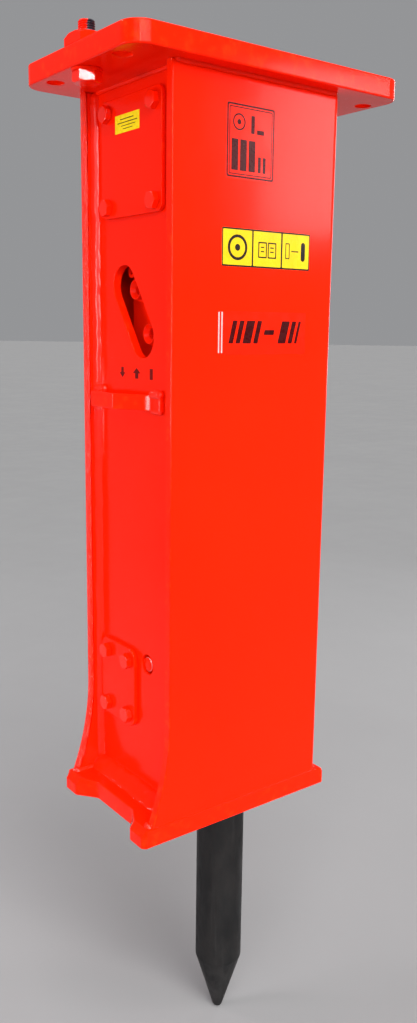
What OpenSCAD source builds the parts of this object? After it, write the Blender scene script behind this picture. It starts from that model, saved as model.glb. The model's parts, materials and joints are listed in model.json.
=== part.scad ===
// Box-housed hydraulic breaker hammer, drawn tool down.
// +Z is up, +X runs along the broad side plates, the hose window is on -X.
// The origin is the centre of the top mounting plate, on its top face.

/* [Show] */
// Which piece to draw, or all of them
// Smoothness of round parts
curve_fn = 64; // [24:8:96]

/* [Top plate] */
// Length along X, mm
plate_x = 412; // [380:1:440]
// Depth along Y, mm
plate_y = 260; // [240:1:280]
// Thickness, mm
plate_t = 25; // [20:1:30]
// Corner radius, mm
plate_r = 26; // [5:1:40]
// Bolt hole spacing along X, mm
hole_sx = 372; // [350:1:380]
// Bolt hole spacing along Y, end to end of a row of three, mm
hole_sy = 156; // [120:1:170]
// Bolt hole diameter, mm
hole_d = 22; // [17:1:26]

/* [Housing] */
// Left edge of the side plates, the hose side, mm
house_left = -138; // [-150:1:-130]
// Right edge of the side plates, mm
house_right = 119; // [110:1:130]
// Distance over both side plates, mm
house_y = 208; // [200:1:220]
// Thickness of a side plate, mm
side_t = 12; // [10:1:16]
// Thickness of a wall panel, mm
wall_t = 12; // [8:1:14]
// How far the left wall stands back from the plate edges, mm
left_recess = 16; // [8:1:20]
// How far the right wall stands back from the plate edges, mm
right_recess = 3; // [0:1:6]
// Radius of the rounded right-hand plate edges, mm
edge_r = 8; // [4:1:10]
// Length of the flare at the foot of the left edges, mm
flare_h = 135; // [100:5:160]
// Width of that flare, mm
flare_w = 26; // [10:1:30]

/* [Base plate] */
// Height of the base plate's underside below the top face, mm
base_z = -970; // [-1000:1:-940]
// Thickness, mm
base_t = 25; // [20:1:32]
// Left end of the feet, mm
foot_left = -178; // [-185:1:-170]
// Right end of the feet, mm
foot_right = 139; // [130:1:145]
// Depth of the recess between the feet, mm
foot_recess = 21; // [10:1:25]
// Bevel on the feet's top edges, mm
foot_bevel = 9; // [2:1:12]

/* [Breaker body] */
// Tool axis, measured along X from the top plate's centre, mm
tool_x = 27; // [20:1:35]
// Body width along X, mm
body_x = 140; // [120:1:150]
// Body depth along Y, mm
body_y = 152; // [140:1:160]
// Top face of the back head, mm
back_z = -74; // [-80:1:-70]
// Joint of back head and cylinder, mm
cyl_z = -212; // [-230:1:-200]
// Joint of cylinder and front head, mm
front_z = -590; // [-600:1:-580]
// Shoulder of the front head, mm
nose_z = -925; // [-930:1:-920]
// Through bolt diameter, mm
rod_d = 24; // [20:1:30]
// Through bolt spacing along X, mm
rod_sx = 100; // [96:1:106]
// Through bolt spacing along Y, mm
rod_sy = 112; // [108:1:116]

/* [Tool] */
// Chisel diameter, mm
tool_d = 70; // [60:1:80]
// Chisel top, at its lowest place, mm
tool_top = -655; // [-670:1:-640]
// Where the point starts, mm
point_z = -1266; // [-1280:1:-1250]
// Where the rounded tip ends, mm
tip_z = -1361; // [-1380:1:-1340]
// Free travel of the chisel, mm
tool_travel = 50; // [30:1:60]
// Distance of each retaining pin from the tool axis, mm
pin_y = 28; // [27:1:36]
// Retaining pin diameter, mm
pin_d = 20; // [18:1:26]
// Height of the retaining pins, mm
pin_z = -755; // [-770:1:-740]

/* [Piston] */
// Piston land diameter, mm
land_d = 76; // [70:1:80]
// Lower rod diameter, mm
lower_d = 66; // [60:1:70]
// Upper rod diameter, mm
upper_d = 60; // [54:1:64]
// Stroke, mm
stroke = 90; // [70:1:100]
// Piston length, mm
piston_l = 395; // [380:1:400]

/* [Hose ports] */
// Inlet port, Y and Z, mm
port_in = [18, -269];
// Outlet port, Y and Z, mm
port_out = [-13, -324];
// Width across flats of a hose adapter, mm
port_af = 30; // [27:1:32]
// Upper end centre of the hose window, Y and Z, mm
window_a = [26, -264.5];
// Lower end centre of the hose window, Y and Z, mm
window_b = [-17, -328.7];
// Radius of the hose window's ends, mm
window_r = 25; // [20:1:30]

/* [Covers and strap] */
// Upper service cover width and height, mm
upper_cover = [136, 140];
// Upper service cover centre height, mm
upper_cover_z = -112; // [-130:1:-100]
// Lower service cover width and height, mm
lower_cover = [87, 112];
// Lower service cover centre, Y and Z, mm
lower_cover_at = [38.5, -798];
// Cover thickness, mm
cover_t = 6; // [4:1:8]
// Hose strap top edge, mm
strap_z = -398; // [-410:1:-390]
// Hose strap height, mm
strap_h = 20; // [16:1:26]
// Hose strap thickness, mm
strap_t = 6; // [4:1:8]
// How far the hose strap stands off the left wall, mm
strap_rise = 24; // [15:1:30]

/* [Hidden] */
$fn = curve_fn;
run = 0.05;
slack = 0.5;
press = 0.3;

side_y = house_y / 2;
side_in = side_y - side_t;
house_top = -plate_t;
base_top = base_z + base_t;
left_face = house_left + left_recess;
left_in = left_face + wall_t;
right_face = house_right - right_recess;
right_in = right_face - wall_t;
wall_h = house_top - base_top;
cover_face = left_face - cover_t;

body_left = tool_x - body_x / 2;
body_right = tool_x + body_x / 2;
body_hy = body_y / 2;
nose_r = 56;
nose_low = base_z + 8;
bush_r = 48;
tool_r = tool_d / 2;
flat_y = pin_y - pin_d / 2 - press;
flat_top = pin_z + pin_d / 2 + press;
flat_low = flat_top - pin_d - 2 * press - tool_travel;
upper_bush_z = [-720, -640];
lower_bush_z = [-948, -850];
nipple_at = [25, -800];
oring_r = 50;

piston_low = tool_top + tool_travel + slack;
piston_top = piston_low + piston_l;
land_low = -500;
land_top = -390;
carrier_low = land_top + stroke + 10;
carrier_r = 44;
gas_r = 34;
gas_top = -100;

damper_r = 48;
damper_low = -62;

block_left = -94;
block_z = [-368, -236];
block_hy = 48;
spool_x = -68;
spool_y = 3;
spool_r = 13;
spool_z = [-353.7, -262];
spool_travel = 11;
seal_t = 2;
adapter_out = -116;

block_bolts = [for (y = [-36, 36], z = [-358, -246]) [y, z]];
upper_bolts = [for (y = [-53, 53], z = [-169, -58]) [y, z]];
lower_bolts = [for (y = [11, 64], z = [-837, -760]) [y, z]];
rod_at = [for (x = [-1, 1], y = [-1, 1]) [tool_x + x * rod_sx / 2, y * rod_sy / 2]];
hole_at = [for (x = [-1, 1], y = [-1, 0, 1]) [x * hole_sx / 2, y * hole_sy / 2]];

red = [0.86, 0.09, 0.03];
steel = [0.62, 0.64, 0.66];
dark = [0.13, 0.13, 0.14];
rubber = [0.06, 0.06, 0.06];
bronze = [0.62, 0.48, 0.25];

// Helpers

module round_rect(size, r) {
    square([size[0] - 2 * r, size[1]], center = true);
    square([size[0], size[1] - 2 * r], center = true);
    for (x = [-1, 1], y = [-1, 1])
        translate([x * (size[0] / 2 - r), y * (size[1] / 2 - r)])
            circle(r = r);
}

// A flat shape in Y and Z, given thickness along X from x0 to x1
module slab_x(x0, x1) {
    translate([x0, 0, 0])
        rotate([90, 0, 90])
            linear_extrude(height = x1 - x0)
                children();
}

module rod_x(x0, x1, r, at) {
    translate([x0, at[0], at[1]])
        rotate([0, 90, 0])
            cylinder(r = r, h = x1 - x0);
}

module hex_x(x0, x1, af, at) {
    translate([x0, at[0], at[1]])
        rotate([0, 90, 0])
            cylinder(r = af / sqrt(3), h = x1 - x0, $fn = 6);
}

module rod_z(z0, z1, r, at = [0, 0]) {
    translate([at[0], at[1], z0])
        cylinder(r = r, h = z1 - z0);
}

module hex_z(z0, z1, af, at = [0, 0]) {
    translate([at[0], at[1], z0])
        cylinder(r = af / sqrt(3), h = z1 - z0, $fn = 6);
}

module ring_z(z0, z1, r_out, r_in, at = [0, 0]) {
    translate([at[0], at[1], z0])
        difference() {
            cylinder(r = r_out, h = z1 - z0);
            translate([0, 0, -1])
                cylinder(r = r_in, h = z1 - z0 + 2);
        }
}

module body_block(z0, z1) {
    translate([tool_x, 0, z0])
        linear_extrude(height = z1 - z0)
            round_rect([body_x, body_y], 12);
}

module rod_holes(z0, z1, r) {
    for (p = rod_at)
        rod_z(z0, z1, r, p);
}

module hex_bolts_x(at, head, af, r) {
    for (p = at) {
        hex_x(cover_face - head, cover_face, af, p);
        rod_x(cover_face - 0.01, left_in, r, p);
    }
}

// Housing

module top_plate() {
    color(red)
        difference() {
            translate([0, 0, -plate_t])
                linear_extrude(height = plate_t)
                    round_rect([plate_x, plate_y], plate_r);
            for (p = hole_at)
                rod_z(-plate_t - 1, 1, hole_d / 2, p);
        }
}

// The plate's outline in X and Z, with the curved flare at its left foot
module side_outline() {
    flare_r = (pow(flare_w, 2) + pow(flare_h, 2)) / (2 * flare_w);
    translate([house_left, base_top])
        square([house_right - house_left, wall_h]);
    difference() {
        translate([house_left - flare_w, base_top])
            square([flare_w + 1, flare_h]);
        translate([house_left - flare_r, base_top + flare_h])
            circle(r = flare_r, $fn = 256);
    }
}

module side_plate(dir) {
    out = dir * side_y;
    reach = house_left - flare_w - 1;
    intersection() {
        translate([0, side_y, 0])
            rotate([90, 0, 0])
                linear_extrude(height = 2 * side_y)
                    side_outline();
        translate([0, 0, base_top - 1])
            linear_extrude(height = wall_h + 2) {
                translate([reach, dir > 0 ? side_in : -side_y])
                    square([house_right - edge_r - reach, side_t]);
                translate([house_right - edge_r - 1, dir > 0 ? side_in : -side_in - side_t + edge_r])
                    square([edge_r + 1, side_t - edge_r]);
                intersection() {
                    translate([house_right - edge_r, out - dir * edge_r])
                        circle(r = edge_r);
                    translate([house_right - edge_r - 1, out - (dir > 0 ? edge_r : 0)])
                        square([edge_r + 2, edge_r]);
                }
            }
    }
}

module front_side_plate() {
    color(red)
        side_plate(-1);
}

module rear_side_plate() {
    color(red)
        side_plate(1);
}

module hose_window() {
    span = window_b - window_a;
    length = norm(span);
    translate(window_a)
        rotate([0, 0, atan2(span[1], span[0])]) {
            for (x = [0, length])
                translate([x, 0])
                    circle(r = window_r);
            translate([0, -window_r])
                square([length, 2 * window_r]);
        }
}

module left_wall_panel() {
    color(red)
        difference() {
            slab_x(left_face, left_in)
                difference() {
                    translate([-side_in, base_top])
                        square([2 * side_in, wall_h]);
                    hose_window();
                    translate([0, upper_cover_z])
                        round_rect([80, 90], 12);
                    translate(lower_cover_at)
                        round_rect([30, 60], 10);
                    translate([-pin_y, pin_z])
                        circle(r = 13);
                }
            for (p = concat(upper_bolts, lower_bolts))
                rod_x(left_face - 1, left_in + 1, 6 + run, p);
        }
}

module right_wall_panel() {
    color(red)
        slab_x(right_in, right_face)
            difference() {
                translate([-side_in, base_top])
                    square([2 * side_in, wall_h]);
                translate([pin_y, pin_z])
                    circle(r = 13);
            }
}

// One end of the base plate's outline, both feet and the recess between them
module base_outline(cut) {
    left = foot_left + cut;
    right = foot_right - cut;
    polygon([
        [left + 5, -side_y], [right - 5, -side_y], [right, -side_y + 5], [right, -72],
        [right - foot_recess + 1, -46], [right - foot_recess + 1, 46], [right, 72],
        [right, side_y - 5], [right - 5, side_y], [left + 5, side_y], [left, side_y - 5],
        [left, 72], [left + foot_recess, 46], [left + foot_recess, -46], [left, -72],
        [left, -side_y + 5]
    ]);
}

module base_plate() {
    color(red)
        difference() {
            union() {
                translate([0, 0, base_z])
                    linear_extrude(height = base_t - foot_bevel)
                        base_outline(0);
                intersection() {
                    translate([0, 0, base_z])
                        linear_extrude(height = base_t)
                            base_outline(0);
                    translate([0, side_y, 0])
                        rotate([90, 0, 0])
                            linear_extrude(height = 2 * side_y)
                                polygon([
                                    [foot_left, base_top - foot_bevel - 1],
                                    [foot_left, base_top - foot_bevel],
                                    [foot_left + foot_bevel, base_top],
                                    [foot_right - foot_bevel, base_top],
                                    [foot_right, base_top - foot_bevel],
                                    [foot_right, base_top - foot_bevel - 1]
                                ]);
                }
            }
            rod_z(base_z - 1, base_top + 1, nose_r + 2, [tool_x, 0]);
        }
}

module cover(size, at, r, bolts) {
    difference() {
        slab_x(cover_face, left_face)
            translate(at)
                round_rect(size, r);
        for (p = bolts)
            rod_x(cover_face - 1, left_face + 1, 6.5, p);
    }
}

module upper_service_cover() {
    color(red)
        cover(upper_cover, [0, upper_cover_z], 10, upper_bolts);
}

module upper_cover_bolts() {
    color(red)
        hex_bolts_x(upper_bolts, 8, 19, 6);
}

module lower_service_cover() {
    color(red)
        cover(lower_cover, lower_cover_at, 16, lower_bolts);
}

module lower_cover_bolts() {
    color(red)
        hex_bolts_x(lower_bolts, 8, 19, 6);
}

// Flat bar bent into a bridge over the hoses
module hose_strap() {
    foot = left_face - strap_t;
    crest = left_face - strap_rise - strap_t;
    color(red)
        translate([0, 0, strap_z - strap_h])
            linear_extrude(height = strap_h)
                polygon([
                    [left_face, -66], [foot, -66], [foot, -42], [crest, 6], [crest, 60],
                    [foot, 76], [foot, side_in], [left_face, side_in], [left_face, 73],
                    [crest + strap_t, 57], [crest + strap_t, 9], [left_face, -39]
                ]);
}

module bracket_bolt() {
    at = [-hole_sx / 2, 0];
    color(red) {
        hex_z(-plate_t - 15.5, -plate_t - 3, 30, at);
        rod_z(-plate_t - 3.01, 27, 10, at);
    }
}

module bracket_bolt_washer() {
    color(red)
        ring_z(-plate_t - 3, -plate_t, 18.5, 10.5, [-hole_sx / 2, 0]);
}

module bracket_square_nut() {
    color(red)
        difference() {
            translate([-hole_sx / 2 - 19, -19, 0])
                cube([38, 38, 12]);
            rod_z(-1, 13, 10 + run, [-hole_sx / 2, 0]);
        }
}

// Dampers and guides between housing and breaker body

module upper_damper() {
    color(rubber)
        ring_z(damper_low, house_top, damper_r, 12, [tool_x, 0]);
}

module damper_pressure_plate() {
    color(steel)
        rod_z(back_z, damper_low, damper_r, [tool_x, 0]);
}

module lower_damper() {
    color(rubber)
        difference() {
            body_block(base_top, nose_z);
            rod_z(base_top - 1, nose_z + 1, nose_r + 2, [tool_x, 0]);
        }
}

module guide_pads(y0, y1) {
    for (z = [-200, -560, -900])
        translate([tool_x - 45, y0, z])
            cube([90, y1 - y0, 90]);
}

module front_guide_pads() {
    color(dark)
        guide_pads(-side_in, -body_hy);
}

module rear_guide_pads() {
    color(dark)
        guide_pads(body_hy, side_in);
}

module right_guide_pads() {
    color(dark)
        for (z = [-200, -560, -900])
            translate([body_right, -50, z])
                cube([right_in - body_right, 100, 90]);
}

module left_guide_blocks() {
    color(dark)
        for (z = [-560, -920])
            translate([left_in, -50, z])
                cube([body_left - left_in, 100, 46]);
}

// Breaker body

module back_head() {
    color(red)
        difference() {
            body_block(cyl_z, back_z);
            rod_z(cyl_z - 1, gas_top, gas_r, [tool_x, 0]);
            rod_holes(cyl_z - 1, back_z + 1, rod_d / 2 + slack);
            rod_x(body_left - 1, body_left + 16, 9 + run, [0, upper_cover_z - 8]);
            rod_x(body_left + 15, tool_x - gas_r + 6, 3, [0, upper_cover_z - 8]);
        }
}

module gas_charging_valve() {
    at = [0, upper_cover_z - 8];
    color(steel)
        difference() {
            union() {
                rod_x(body_left - 0.01, body_left + 14, 9, at);
                hex_x(body_left - 10, body_left, 24, at);
                rod_x(body_left - 18, body_left - 9.99, 8, at);
            }
            rod_x(body_left - 19, body_left + 15, 2.5, at);
        }
}

module gas_valve_cap() {
    at = [0, upper_cover_z - 8];
    color(steel)
        difference() {
            hex_x(body_left - 26, body_left - 10, 22, at);
            rod_x(body_left - 18, body_left - 9, 8 + run, at);
        }
}

module cylinder_block() {
    color(red)
        difference() {
            body_block(front_z, cyl_z);
            rod_z(front_z - 1, land_low, lower_d / 2 + run, [tool_x, 0]);
            rod_z(land_low - press, carrier_low + 1, land_d / 2 + run, [tool_x, 0]);
            rod_z(carrier_low, cyl_z + 1, carrier_r + run, [tool_x, 0]);
            for (z = [-525, -560])
                ring_z(z, z + 8, lower_d / 2 + 6, 5, [tool_x, 0]);
            for (z = [-480, -400, -330])
                ring_z(z, z + 16, land_d / 2 + 7, 5, [tool_x, 0]);
            rod_holes(front_z - 1, cyl_z + 1, rod_d / 2 + slack);
            for (p = block_bolts)
                rod_x(body_left - 1, body_left + 21, 5 + run, p);
            for (z = [-440, -500])
                rod_x(body_left - 1, body_left + 14, 8 + run, [-22, z]);
            ring_z(cyl_z - 2.2, cyl_z + 1, oring_r + 3.2, oring_r - 0.2, [tool_x, 0]);
        }
}

module cylinder_o_rings() {
    color(rubber)
        for (z = [cyl_z, front_z])
            ring_z(z - 2, z, oring_r + 3, oring_r, [tool_x, 0]);
}

module seal_carrier() {
    color(bronze)
        difference() {
            ring_z(carrier_low, cyl_z, carrier_r, upper_d / 2 + run, [tool_x, 0]);
            for (z = [-282, -264, -242])
                ring_z(z, z + 8, upper_d / 2 + 6, 5, [tool_x, 0]);
        }
}

module piston_seals() {
    color(rubber) {
        for (z = [-282, -264, -242])
            ring_z(z + 0.5, z + 7.5, upper_d / 2 + 5.7, upper_d / 2 + press, [tool_x, 0]);
        for (z = [-525, -560])
            ring_z(z + 0.5, z + 7.5, lower_d / 2 + 5.7, lower_d / 2 + press, [tool_x, 0]);
    }
}

module piston() {
    color(steel)
        translate([tool_x, 0, 0])
            rotate_extrude()
                polygon([
                    [0, piston_low], [lower_d / 2 - 3, piston_low], [lower_d / 2, piston_low + 3],
                    [lower_d / 2, land_low], [land_d / 2, land_low], [land_d / 2, -465],
                    [31, -465], [31, -425], [land_d / 2, -425], [land_d / 2, land_top],
                    [upper_d / 2, land_top], [upper_d / 2, piston_top - 3],
                    [upper_d / 2 - 3, piston_top], [0, piston_top]
                ]);
}

module front_head() {
    color(dark)
        difference() {
            union() {
                body_block(nose_z, front_z);
                rod_z(nose_low, nose_z + 1, nose_r, [tool_x, 0]);
            }
            rod_z(nose_low - 1, front_z + 1, tool_r + 1.5, [tool_x, 0]);
            rod_z(upper_bush_z[0], front_z + 1, bush_r + run, [tool_x, 0]);
            rod_z(nose_low - 1, lower_bush_z[1], bush_r + run, [tool_x, 0]);
            rod_holes(-660, front_z + 1, rod_d / 2 + run);
            for (y = [-pin_y, pin_y])
                rod_x(body_left - 1, body_right + 1, pin_d / 2 + run, [y, pin_z]);
            rod_x(body_left - 1, body_right + 1, 6 + run, [-bush_r, -880]);
            rod_x(body_left - 1, body_left + 9, 4 + run, nipple_at);
            rod_x(body_left + 8, tool_x - 20, 2, nipple_at);
            ring_z(front_z - 2.2, front_z + 1, oring_r + 3.2, oring_r - 0.2, [tool_x, 0]);
        }
}

module upper_bush() {
    color(bronze)
        ring_z(upper_bush_z[0], upper_bush_z[1], bush_r, tool_r + run, [tool_x, 0]);
}

module lower_bush() {
    color(bronze)
        difference() {
            ring_z(lower_bush_z[0], lower_bush_z[1], bush_r, tool_r + run, [tool_x, 0]);
            rod_x(tool_x - 60, tool_x + 60, 6 + run, [-bush_r, -880]);
        }
}

module bush_lock_pin() {
    color(steel)
        rod_x(body_left, body_right, 6, [-bush_r, -880]);
}

module dust_seal() {
    color(rubber)
        ring_z(nose_low, lower_bush_z[0], bush_r, tool_r + press, [tool_x, 0]);
}

// Each pin reaches from inside its wall's hole to the far side of the front head
module retaining_pin_left() {
    color(steel)
        rod_x(left_face + 1, body_right - 1, pin_d / 2, [-pin_y, pin_z]);
}

module retaining_pin_right() {
    color(steel)
        rod_x(body_left + 1, right_face - 1, pin_d / 2, [pin_y, pin_z]);
}

module chisel() {
    tip_r = 8;
    color(dark)
        difference() {
            translate([tool_x, 0, 0]) {
                rotate_extrude()
                    polygon([
                        [0, tool_top], [tool_r - 5, tool_top], [tool_r, tool_top - 5],
                        [tool_r, point_z], [tip_r - 0.4, tip_z + tip_r - 1],
                        [0, tip_z + tip_r - 1]
                    ]);
                translate([0, 0, tip_z + tip_r])
                    sphere(r = tip_r);
            }
            for (y = [-tool_r - 5, flat_y])
                translate([tool_x - tool_r - 1, y, flat_low])
                    cube([tool_d + 2, tool_r + 5 - flat_y, flat_top - flat_low]);
        }
}

module through_bolts() {
    color(steel)
        rod_holes(-655, -50, rod_d / 2);
}

module through_bolt_washers() {
    color(steel)
        for (p = rod_at)
            ring_z(back_z, back_z + 3, 20, rod_d / 2 + slack, p);
}

module through_bolt_nuts() {
    color(steel)
        for (p = rod_at)
            difference() {
                hex_z(back_z + 3, back_z + 21, 36, p);
                rod_z(back_z, back_z + 24, rod_d / 2 + run, p);
            }
}

// Control valve and hose connections

module valve_housing() {
    color(red)
        difference() {
            translate([block_left, -block_hy, block_z[0]])
                cube([body_left - block_left, 2 * block_hy, block_z[1] - block_z[0]]);
            rod_z(block_z[0] - 1, block_z[1] + 1, spool_r + run, [spool_x, spool_y]);
            for (p = [port_in, port_out])
                rod_x(block_left - 1, block_left + 12, 9.5 + run, p);
            for (p = block_bolts)
                rod_x(block_left - 1, body_left + 1, 5.5, p);
        }
}

module valve_housing_bolts() {
    color(red)
        for (p = block_bolts)
            difference() {
                union() {
                    rod_x(block_left - 10, block_left, 8, p);
                    rod_x(block_left - 0.01, body_left + 20, 5, p);
                }
                hex_x(block_left - 11, block_left - 5, 8, p);
            }
}

module valve_spool() {
    groove = 9;
    color(steel)
        translate([spool_x, spool_y, 0])
            difference() {
                rod_z(spool_z[0], spool_z[1], spool_r);
                for (z = [-335, -302])
                    ring_z(z, z + 12, spool_r + 1, groove);
            }
}

module valve_plug(z_face, dir) {
    at = [spool_x, spool_y];
    rod_z(min(z_face, z_face - dir * 14), max(z_face, z_face - dir * 14), spool_r, at);
    hex_z(min(z_face, z_face + dir * 9), max(z_face, z_face + dir * 9), 32, at);
}

module valve_top_plug() {
    color(red)
        valve_plug(block_z[1], 1);
}

module valve_bottom_plug() {
    color(red)
        valve_plug(block_z[0], -1);
}

module port_adapter(at) {
    difference() {
        union() {
            rod_x(block_left - seal_t, block_left + 10, 9.5, at);
            hex_x(block_left - seal_t - 6, block_left - seal_t, port_af, at);
            rod_x(adapter_out, block_left - seal_t - 5.99, 13, at);
        }
        rod_x(adapter_out - 1, block_left + 11, 7, at);
    }
}

module inlet_adapter() {
    color(red)
        port_adapter(port_in);
}

module outlet_adapter() {
    color(red)
        port_adapter(port_out);
}

module port_seals() {
    color(red)
        for (p = [port_in, port_out])
            difference() {
                rod_x(block_left - seal_t, block_left, 14, p);
                rod_x(block_left - seal_t - 1, block_left + 1, 9.5 + run, p);
            }
}

module grease_nipple() {
    color(steel) {
        rod_x(body_left - 0.01, body_left + 8, 4, nipple_at);
        hex_x(body_left - 5, body_left, 9, nipple_at);
        rod_x(body_left - 13, body_left - 4.99, 3, nipple_at);
    }
}

module gallery_plugs() {
    color(steel)
        for (z = [-440, -500]) {
            rod_x(body_left - 0.01, body_left + 12, 8, [-22, z]);
            hex_x(body_left - 6, body_left, 19, [-22, z]);
        }
}

top_plate();
front_side_plate();
rear_side_plate();
left_wall_panel();
right_wall_panel();
base_plate();
upper_service_cover();
upper_cover_bolts();
lower_service_cover();
lower_cover_bolts();
hose_strap();
bracket_bolt();
bracket_bolt_washer();
bracket_square_nut();
upper_damper();
damper_pressure_plate();
lower_damper();
front_guide_pads();
rear_guide_pads();
right_guide_pads();
left_guide_blocks();
back_head();
gas_charging_valve();
gas_valve_cap();
cylinder_block();
cylinder_o_rings();
seal_carrier();
piston_seals();
piston();
front_head();
upper_bush();
lower_bush();
bush_lock_pin();
dust_seal();
retaining_pin_left();
retaining_pin_right();
chisel();
through_bolts();
through_bolt_washers();
through_bolt_nuts();
valve_housing();
valve_housing_bolts();
valve_spool();
valve_top_plug();
valve_bottom_plug();
inlet_adapter();
outlet_adapter();
port_seals();
grease_nipple();
gallery_plugs();
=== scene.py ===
import json
import math

import bmesh
import bpy
from mathutils import Matrix, Vector, noise
from mathutils.geometry import tessellate_polygon


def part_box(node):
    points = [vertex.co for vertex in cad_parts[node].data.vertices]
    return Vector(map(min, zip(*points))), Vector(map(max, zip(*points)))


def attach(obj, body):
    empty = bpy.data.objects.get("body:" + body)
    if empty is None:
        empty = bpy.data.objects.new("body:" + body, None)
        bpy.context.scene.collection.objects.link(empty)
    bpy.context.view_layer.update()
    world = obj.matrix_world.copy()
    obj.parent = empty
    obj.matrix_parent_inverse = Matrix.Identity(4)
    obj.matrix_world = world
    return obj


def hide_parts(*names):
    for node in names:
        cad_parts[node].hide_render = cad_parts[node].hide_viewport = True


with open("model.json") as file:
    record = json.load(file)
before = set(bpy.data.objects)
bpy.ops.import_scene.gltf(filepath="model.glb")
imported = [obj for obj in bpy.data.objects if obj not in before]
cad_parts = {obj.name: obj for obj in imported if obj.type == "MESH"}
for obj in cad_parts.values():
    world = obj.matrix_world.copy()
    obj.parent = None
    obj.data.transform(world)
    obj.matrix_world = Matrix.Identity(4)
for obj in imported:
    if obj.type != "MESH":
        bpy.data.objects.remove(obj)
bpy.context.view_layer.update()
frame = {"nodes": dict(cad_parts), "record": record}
nodes = frame["nodes"]
record = frame["record"]
slots = {s["node"]: s["material_slot"] for s in record["subparts"]}

MM = 0.001


def span(node):
    """A CAD node's lowest and highest corners, in millimetres."""
    low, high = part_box(node)
    return low / MM, high / MM


# ---------------------------------------------------------------- materials


class Graph:
    """A node material with a Principled shader and object coordinates."""

    def __init__(self, name):
        self.material = bpy.data.materials.new(name)
        self.material.use_nodes = True
        self.tree = self.material.node_tree
        self.shader = self.tree.nodes["Principled BSDF"]
        self.place = self.tree.nodes.new("ShaderNodeTexCoord").outputs["Object"]
        self.normal = None

    def set(self, **values):
        for key, value in values.items():
            self.shader.inputs[key.replace("_", " ")].default_value = value

    def link(self, source, target):
        self.tree.links.new(source, target)

    def noise(self, scale, detail=4.0, stretch=(1, 1, 1), rough=0.55):
        node = self.tree.nodes.new("ShaderNodeTexNoise")
        node.inputs["Scale"].default_value = scale
        node.inputs["Detail"].default_value = detail
        node.inputs["Roughness"].default_value = rough
        where = self.tree.nodes.new("ShaderNodeMapping")
        where.inputs["Scale"].default_value = stretch
        self.link(self.place, where.inputs["Vector"])
        self.link(where.outputs["Vector"], node.inputs["Vector"])
        return node.outputs["Fac"]

    def cells(self, scale):
        node = self.tree.nodes.new("ShaderNodeTexVoronoi")
        node.inputs["Scale"].default_value = scale
        self.link(self.place, node.inputs["Vector"])
        return node.outputs["Distance"]

    def attribute(self, name):
        node = self.tree.nodes.new("ShaderNodeAttribute")
        node.attribute_name = name
        return node.outputs["Fac"]

    def axis(self, which):
        node = self.tree.nodes.new("ShaderNodeSeparateXYZ")
        self.link(self.place, node.inputs["Vector"])
        return node.outputs[which]

    def range(self, value, low, high, to_low=0.0, to_high=1.0):
        node = self.tree.nodes.new("ShaderNodeMapRange")
        node.interpolation_type = "SMOOTHSTEP"
        for key, number in zip(("From Min", "From Max", "To Min", "To Max"), (low, high, to_low, to_high)):
            node.inputs[key].default_value = number
        self.link(value, node.inputs["Value"])
        return node.outputs["Result"]

    def maths(self, kind, a, b):
        node = self.tree.nodes.new("ShaderNodeMath")
        node.operation = kind
        for socket, value in zip(node.inputs, (a, b)):
            if isinstance(value, (int, float)):
                socket.default_value = value
            else:
                self.link(value, socket)
        return node.outputs["Value"]

    def mix(self, factor, a, b):
        node = self.tree.nodes.new("ShaderNodeMix")
        node.data_type = "RGBA"
        self.link(factor, node.inputs["Factor"])
        for key, value in (("A_Color", a), ("B_Color", b)):
            socket = next(s for s in node.inputs if s.identifier == key)
            if isinstance(value, (tuple, list)):
                socket.default_value = (*value, 1.0)
            else:
                self.link(value, socket)
        return next(s for s in node.outputs if s.identifier == "Result_Color")

    def bump(self, height, distance, strength=1.0):
        node = self.tree.nodes.new("ShaderNodeBump")
        node.inputs["Distance"].default_value = distance
        node.inputs["Strength"].default_value = strength
        self.link(height, node.inputs["Height"])
        if self.normal is not None:
            self.link(self.normal, node.inputs["Normal"])
        self.normal = node.outputs["Normal"]

    def finish(self, colour, roughness):
        self.link(colour, self.shader.inputs["Base Color"])
        self.link(roughness, self.shader.inputs["Roughness"])
        if self.normal is not None:
            self.link(self.normal, self.shader.inputs["Normal"])
        return self.material


def paint(name, base, deep, bright, rough=0.16, cut=0.0, gloss=0.13):
    """Thick sprayed gloss enamel: slow colour drift, orange peel, dust nibs and thinner paint on the rims.

    Cut is how strongly the hose side's torch-cut rim shows through, and gloss is the specular level.
    """
    g = Graph(name)
    g.set(Specular_IOR_Level=gloss, Specular_Tint=(1.0, 0.55, 0.55, 1.0))
    g.set(Coat_Weight=0.02, Coat_Roughness=0.04)
    drift = g.range(g.noise(2.2, 3), 0.25, 0.75, 0.0, 0.7)
    colour = g.mix(drift, base, deep)
    thin = g.maths("MULTIPLY", g.attribute("rim"), g.range(g.noise(90, 6), 0.5, 0.72, 0.0, 0.55))
    colour = g.mix(thin, colour, bright)
    grime = g.range(g.noise(24, 8, (1, 1, 0.35), 0.7), 0.62, 0.85, 0.0, 0.3)
    colour = g.mix(grime, colour, deep)
    smear = g.range(g.noise(9, 6, (1, 1, 0.3)), 0.35, 0.75, rough * 0.8, rough * 1.25)
    speck = g.range(g.noise(420, 2), 0.68, 0.76, 0.0, 0.15)
    g.bump(g.noise(11, 2), 0.0012, 0.10)
    g.bump(g.noise(240, 2.5), 0.00035, 0.13)
    g.bump(g.range(g.noise(520, 1), 0.70, 0.76), 0.0002, 0.2)
    if cut:
        hose_side = g.maths("MULTIPLY", g.attribute("rim"), g.range(g.axis("X"), -0.12, -0.132))
        g.bump(g.maths("MULTIPLY", hose_side, g.noise(150, 5, (1, 1, 0.45))), 0.006, cut)
    return g.finish(colour, g.maths("ADD", smear, speck))


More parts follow.
